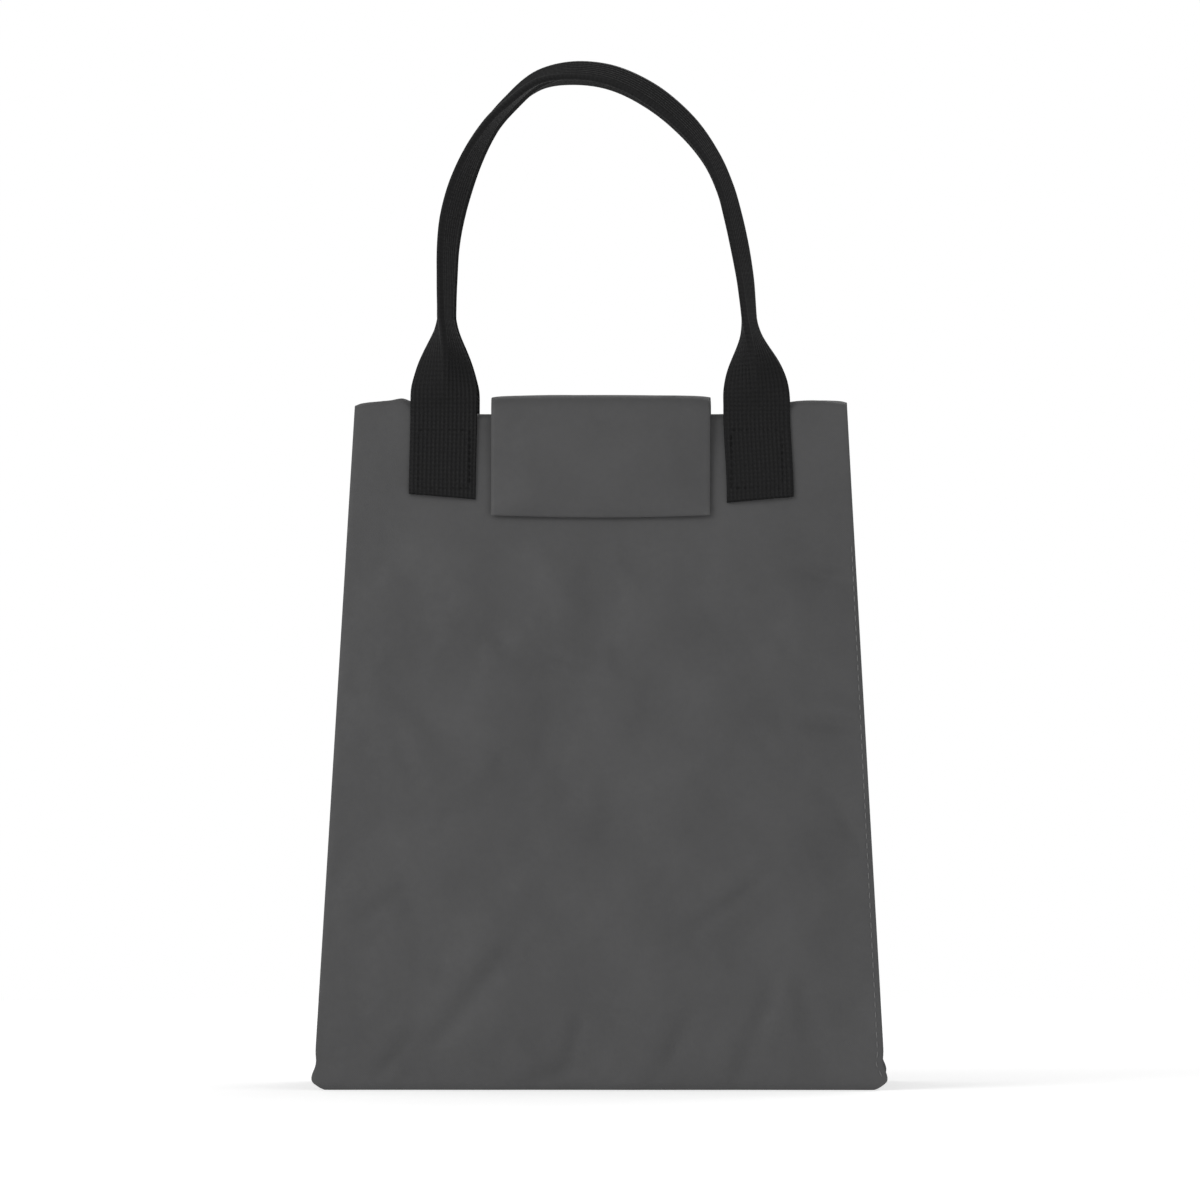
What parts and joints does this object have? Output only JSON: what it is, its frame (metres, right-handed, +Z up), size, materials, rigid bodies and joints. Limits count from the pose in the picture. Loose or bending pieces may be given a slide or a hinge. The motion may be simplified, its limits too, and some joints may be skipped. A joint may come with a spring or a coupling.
{
  "type": "insulated lunch tote",
  "caption": "Soft tapered fabric lunch tote with side gussets, a closing flap over the mouth and two arched webbing handles.",
  "frame": {"origin": "on the floor, under the middle of the body's box", "axes": "+X to the right seen from the front, the front panel faces -Y, +Z up"},
  "size_m": [0.2136, 0.12, 0.3844],
  "materials": {
    "outer_fabric": "fine plain-woven polyester, slight satin",
    "webbing": "ribbed woven webbing, matt",
    "lining": "coated silver-grey lining, soft gloss",
    "foam": "closed-cell foam, matt",
    "binding": "narrow woven binding tape, matt",
    "board": "smooth sheet, matt",
    "hook_tape": "rows of small hooks",
    "loop_tape": "brushed loops"
  },
  "bodies": {
    "root": {"front_panel": "outer_fabric", "back_panel": "outer_fabric", "left_gusset": "outer_fabric", "right_gusset": "outer_fabric", "bottom_panel": "outer_fabric", "front_foam": "foam", "back_foam": "foam", "left_foam": "foam", "right_foam": "foam", "bottom_foam": "foam", "front_lining": "lining", "back_lining": "lining", "left_lining": "lining", "right_lining": "lining", "bottom_lining": "lining", "front_hem": "outer_fabric", "back_hem": "outer_fabric", "left_hem": "outer_fabric", "right_hem": "outer_fabric", "front_left_corner_tape": "binding", "front_right_corner_tape": "binding", "back_left_corner_tape": "binding", "back_right_corner_tape": "binding", "base_board": "board", "loop_tape": "loop_tape", "flap_sewn_end": "outer_fabric", "flap_sewn_end_lining": "outer_fabric", "front_handle_left_end": "webbing", "front_handle_right_end": "webbing", "back_handle_left_end": "webbing", "back_handle_right_end": "webbing"},
    "flap_bridge": {"flap_bridge": "outer_fabric", "flap_bridge_lining": "outer_fabric"},
    "flap_tip": {"flap_tip": "outer_fabric", "flap_tip_lining": "outer_fabric", "hook_tape": "hook_tape"},
    "front_handle": {"front_handle_strap": "webbing"},
    "back_handle": {"back_handle_strap": "webbing"}
  },
  "joints": [
    {"name": "flap_lift", "type": "hinge", "parent": "root", "child": "flap_bridge", "pos_m": [0, 0.0223, 0.255], "axis": [-1, 0, 0], "range_deg": [0, 180]},
    {"name": "flap_peel", "type": "hinge", "parent": "flap_bridge", "child": "flap_tip", "pos_m": [0, -0.02423, 0.25837], "axis": [-1, 0, 0], "range_deg": [0, 90]},
    {"name": "front_handle_swing", "type": "hinge", "parent": "root", "child": "front_handle", "pos_m": [0, -0.02463, 0.255], "axis": [1, 0, 0], "range_deg": [-6, 160]},
    {"name": "back_handle_swing", "type": "hinge", "parent": "root", "child": "back_handle", "pos_m": [0, 0.02463, 0.255], "axis": [-1, 0, 0], "range_deg": [-6, 160]}
  ]
}
